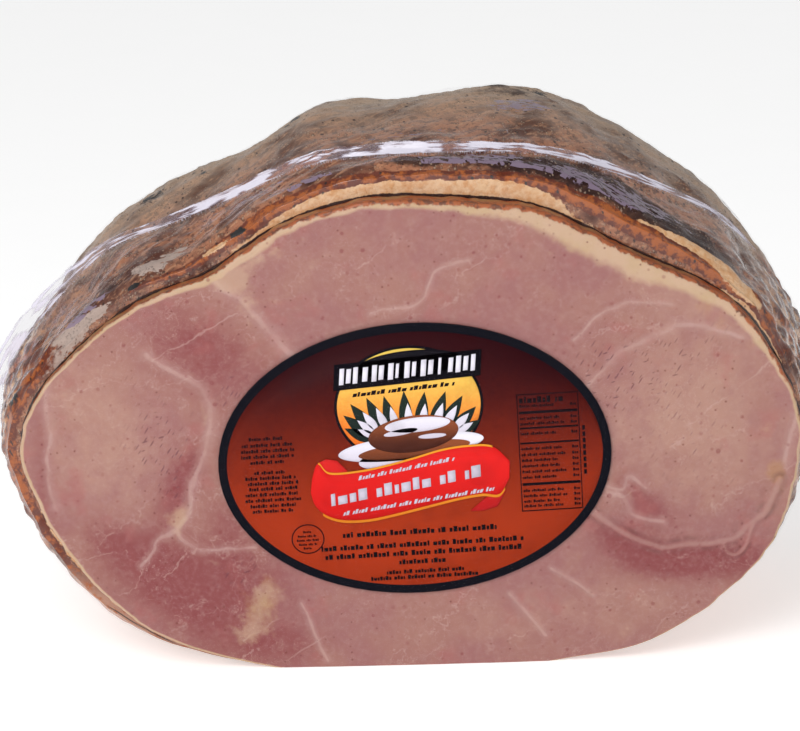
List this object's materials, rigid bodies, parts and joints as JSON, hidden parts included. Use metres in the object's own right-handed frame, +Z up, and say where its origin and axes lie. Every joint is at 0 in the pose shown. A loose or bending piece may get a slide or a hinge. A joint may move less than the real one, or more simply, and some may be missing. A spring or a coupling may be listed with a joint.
{
  "type": "glazed ham",
  "caption": "Half glazed ham sealed in clear clinging film, lying flat, with one slice at its cut face, a raised film seam and an oval label.",
  "frame": {"origin": "bottom centre of the whole ham's box, on the surface it rests on", "axes": "+X to the right of someone facing the cut face, which looks towards -Y; +Z up"},
  "size_m": [0.2752, 0.1659, 0.1749],
  "materials": {
    "glazed_skin": "glossy brown glaze under clear film",
    "cut_meat": "moist cut meat under clear film",
    "clear_film": "clear, glossy",
    "label_print": "smooth printed label"
  },
  "bodies": {
    "root": {"ham_body": "glazed_skin", "front_slice": "cut_meat", "film_seam": "clear_film", "label": "label_print"}
  },
  "joints": []
}
